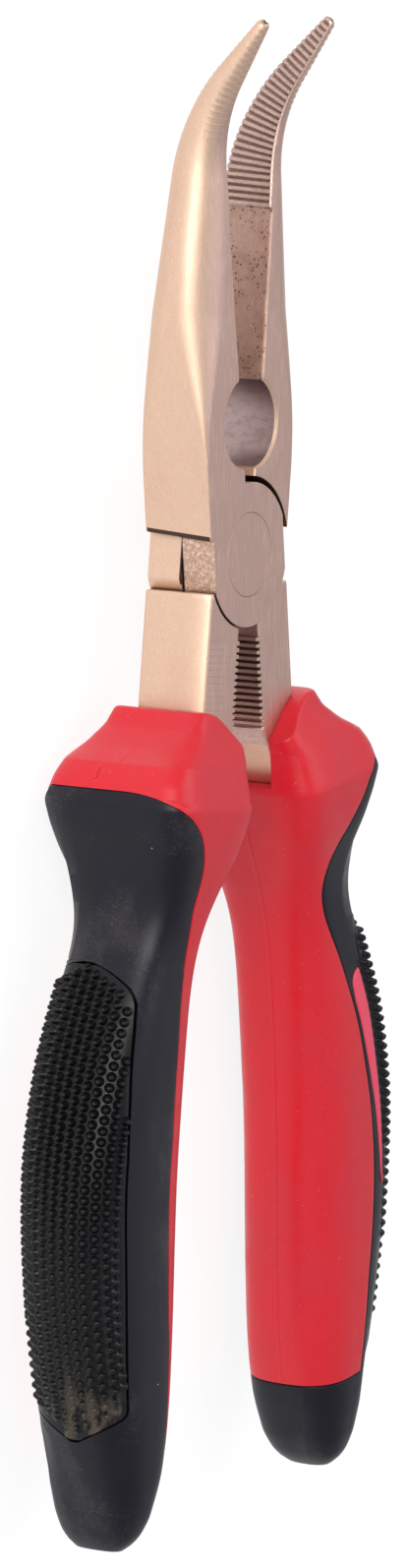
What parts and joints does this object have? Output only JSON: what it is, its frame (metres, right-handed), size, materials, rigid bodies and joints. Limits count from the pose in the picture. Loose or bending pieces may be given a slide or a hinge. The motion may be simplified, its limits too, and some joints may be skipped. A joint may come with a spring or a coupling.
{
  "type": "needle nose pliers",
  "caption": "Bent needle nose pliers: lap-jointed steel halves on a flush rivet, serrated half round jaws, round opening, two-material grips with nubbed pads.",
  "frame": {"origin": "centre of the pivot rivet on the rear face of the head", "axes": "+Y along the jaws to the tips, X the opening direction, +Z the pivot axis, towards the side that the bent tips point to"},
  "size_m": [0.0762, 0.1979, 0.0231],
  "materials": {
    "bronze_steel": "fine brushed, bronze coated",
    "red_plastic": "satin gloss",
    "black_rubber": "matte",
    "pink_inlay": "satin"
  },
  "bodies": {
    "rear_lever": {"rear_half": "bronze_steel", "pivot_rivet": "bronze_steel", "left_grip_core": "red_plastic", "left_grip_overmould": "black_rubber", "left_nub_pad": "black_rubber", "left_side_inlay": "pink_inlay"},
    "front_lever": {"front_half": "bronze_steel", "right_grip_core": "red_plastic", "right_grip_overmould": "black_rubber", "right_nub_pad": "black_rubber", "right_side_inlay": "pink_inlay"}
  },
  "joints": [
    {"name": "pivot", "type": "hinge", "parent": "rear_lever", "child": "front_lever", "pos_m": [0, 0, 0], "axis": [0, 0, 1], "range_deg": [-13, 35]}
  ]
}
